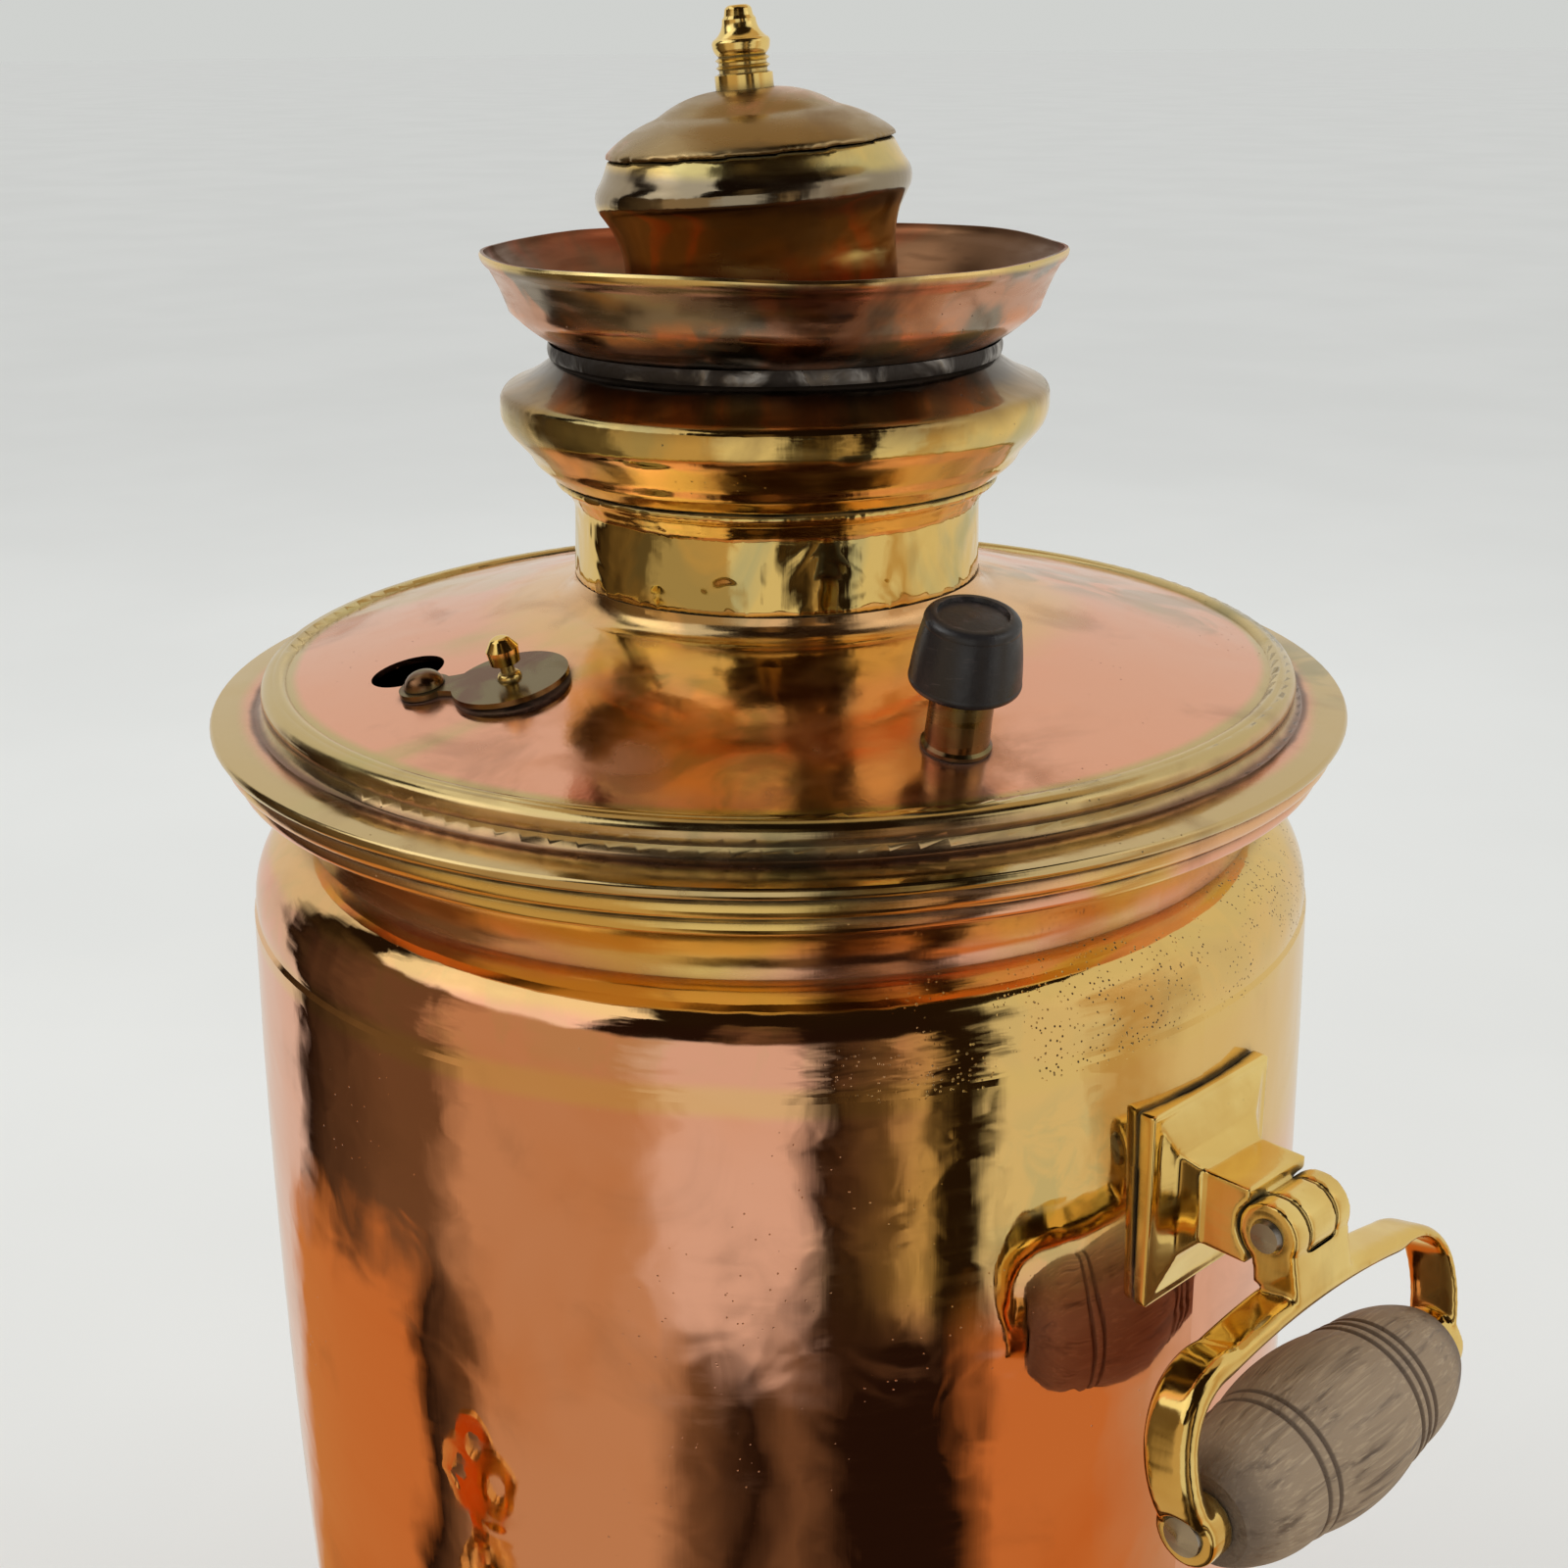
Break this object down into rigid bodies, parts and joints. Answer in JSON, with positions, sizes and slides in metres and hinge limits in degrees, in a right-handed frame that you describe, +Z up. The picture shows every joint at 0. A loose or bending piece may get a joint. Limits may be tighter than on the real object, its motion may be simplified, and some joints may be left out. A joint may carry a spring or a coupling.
{
  "type": "samovar",
  "caption": "Jar-shaped charcoal samovar with a fire tube, a lift-off lid with knobs and a steam vent, a teapot stand, a smoke cap, drop handles and a plug tap.",
  "frame": {"origin": "on the tank's vertical axis, at the level of the table that the four feet stand on", "axes": "+Z up along the tank's axis, the tap towards -Y, the handles on +X and -X"},
  "size_m": [0.3538, 0.3702, 0.5465],
  "materials": {
    "copper": "polished, rosy, fine scratches",
    "lid_copper": "polished with pits and yellow patches",
    "collar_brass": "polished, dark in the hollows",
    "old_copper": "tarnished brown",
    "dome_copper": "polished, pinkish",
    "brass": "polished with shallow dents",
    "base_brass": "polished, worn edges",
    "tinned_copper": "dull tin, sooty",
    "iron": "rough, burnt",
    "solder": "dull, lumpy",
    "bronze": "dark bronze",
    "steel": "plain, worn",
    "black_knob": "black stained wood, satin",
    "grip_wood": "weathered turned wood"
  },
  "bodies": {
    "root": {"foot_front_left": "base_brass", "foot_back_left": "base_brass", "foot_front_right": "base_brass", "foot_back_right": "base_brass", "base_plate": "base_brass", "pedestal": "base_brass", "tank_bottom": "copper", "tank_shell": "copper", "tank_floor": "tinned_copper", "tank_collar": "collar_brass", "fire_box": "tinned_copper", "flue": "tinned_copper", "grate": "iron", "handle_bracket_right": "brass", "handle_bracket_left": "brass", "tap_back_plate": "brass", "tap_body": "brass"},
    "lid": {"lid_shell": "lid_copper", "lid_skirt": "lid_copper", "chimney_neck": "brass", "knob_stem_right": "bronze", "knob_right": "black_knob", "knob_stud_right": "bronze", "knob_nut_right": "bronze", "knob_stem_left": "bronze", "knob_left": "black_knob", "knob_stud_left": "bronze", "knob_nut_left": "bronze", "vent_rivet": "bronze"},
    "vent": {"vent_cover": "brass", "vent_cover_knob": "brass"},
    "stand": {"stand_ring": "brass", "stand_dish": "old_copper", "solder_bead": "solder"},
    "cap": {"cap_body": "brass", "cap_dome": "dome_copper", "cap_finial": "brass", "cap_finial_nut": "bronze"},
    "right_handle": {"handle_yoke_right": "brass", "hinge_pin_right": "steel", "grip_rod_right": "steel", "grip_right": "grip_wood"},
    "left_handle": {"handle_yoke_left": "brass", "hinge_pin_left": "steel", "grip_rod_left": "steel", "grip_left": "grip_wood"},
    "key": {"tap_plug": "brass", "tap_key": "brass"}
  },
  "joints": [
    {"name": "lid_lift", "type": "slide", "parent": "root", "child": "lid", "axis": [0, 0, 1], "range_m": [0, 0.12]},
    {"name": "stand_lift", "type": "slide", "parent": "lid", "child": "stand", "axis": [0, 0, 1], "range_m": [0, 0.08]},
    {"name": "cap_lift", "type": "slide", "parent": "stand", "child": "cap", "axis": [0, 0, 1], "range_m": [0, 0.06]},
    {"name": "vent_swing", "type": "hinge", "parent": "lid", "child": "vent", "pos_m": [-0.01566, -0.08883, 0.4096], "axis": [-0.0385, -0.2186, 0.9751], "range_deg": [0, 126]},
    {"name": "right_handle_swing", "type": "hinge", "parent": "root", "child": "right_handle", "pos_m": [0.1495, 0, 0.314], "axis": [0, -1, 0], "range_deg": [0, 100]},
    {"name": "left_handle_swing", "type": "hinge", "parent": "root", "child": "left_handle", "pos_m": [-0.1495, 0, 0.314], "axis": [0, 1, 0], "range_deg": [0, 100]},
    {"name": "key_turn", "type": "hinge", "parent": "root", "child": "key", "pos_m": [0, -0.19, 0.144], "axis": [0, 0, 1], "continuous": true}
  ]
}
